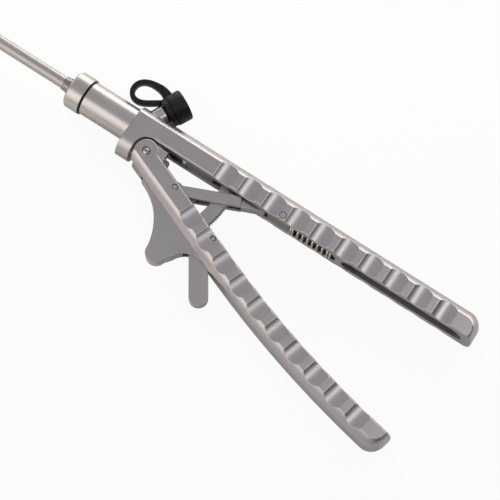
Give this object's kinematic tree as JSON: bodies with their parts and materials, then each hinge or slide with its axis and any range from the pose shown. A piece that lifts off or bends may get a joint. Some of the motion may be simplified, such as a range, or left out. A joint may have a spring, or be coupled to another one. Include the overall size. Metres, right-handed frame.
{
  "type": "laparoscopic needle holder",
  "caption": "Straight laparoscopic needle holder with fluted inline handles, ratchet, release trigger, capped flush port and a long slim shaft with one moving jaw.",
  "frame": {"origin": "on the shaft's axis where the shaft leaves its ferrule", "axes": "+X along the shaft from the jaws to the hand, +Y out through the upper handle's back, +Z across the handles' thickness; the tool lies on its side"},
  "size_m": [0.5119, 0.0766, 0.015],
  "materials": {
    "satin_steel": "bead-blasted satin",
    "turned_steel": "fine turned satin",
    "bright_steel": "polished",
    "shaft_steel": "satin",
    "insert_carbide": "ground",
    "black_rubber": "moulded"
  },
  "bodies": {
    "handle": {"upper_handle": "satin_steel", "barrel": "turned_steel", "collar_nut": "turned_steel", "seal_ring": "black_rubber", "shaft_ferrule": "shaft_steel", "shaft_tube": "shaft_steel", "flush_port": "bright_steel", "tether_ring": "black_rubber", "cap_tether": "black_rubber", "guide_pin": "bright_steel", "ratchet_rack": "satin_steel", "fixed_jaw": "shaft_steel", "fixed_insert": "insert_carbide", "jaw_pivot_pin": "bright_steel", "return_spring": "bright_steel"},
    "lever": {"lower_handle": "satin_steel", "hinge_screw": "bright_steel", "link_pin": "bright_steel", "trigger_pin": "bright_steel", "finger_rest": "satin_steel"},
    "link": {"link": "satin_steel"},
    "slider": {"slider": "satin_steel", "slider_pin": "bright_steel", "spring_guide": "bright_steel", "push_rod": "bright_steel", "rod_nut": "bright_steel"},
    "trigger": {"release_trigger": "satin_steel"},
    "jaw": {"moving_jaw": "shaft_steel", "moving_insert": "insert_carbide", "jaw_drive_pin": "bright_steel"},
    "cap": {"port_cap": "black_rubber"}
  },
  "joints": [
    {"name": "handle_squeeze", "type": "hinge", "parent": "handle", "child": "lever", "pos_m": [0.0427, -0.0071, 0], "axis": [0, 0, 1], "range_deg": [0, 11], "stiffness_Nm_per_rad": 1.5, "springref_deg": -20.05},
    {"name": "slider_travel", "type": "slide", "parent": "handle", "child": "slider", "axis": [1, 0, 0], "range_m": [0, 0.0021], "deforming": ["return_spring"]},
    {"name": "link_swing", "type": "hinge", "parent": "lever", "child": "link", "pos_m": [0.05963, -0.01298, 0], "axis": [0, 0, 1], "range_deg": [-17.3, 0]},
    {"name": "jaw_swing", "type": "hinge", "parent": "handle", "child": "jaw", "pos_m": [-0.315, 0.00105, 0], "axis": [0, 0, 1], "range_deg": [0, 52.8]},
    {"name": "trigger_pull", "type": "hinge", "parent": "lever", "child": "trigger", "pos_m": [0.0822, -0.02142, 0], "axis": [0, 0, 1], "range_deg": [-5, 8], "stiffness_Nm_per_rad": 0.05},
    {"name": "cap_pull", "type": "slide", "parent": "handle", "child": "cap", "axis": [0.4493, 0.8934, 0], "range_m": [0, 0.008], "deforming": ["cap_tether"]}
  ],
  "couplings": [
    {"joint": "slider_travel", "follows": "handle_squeeze", "m_per_rad": 0.010886},
    {"joint": "link_swing", "follows": "handle_squeeze", "ratio": -1.5631},
    {"joint": "jaw_swing", "follows": "handle_squeeze", "ratio": 4.8}
  ]
}
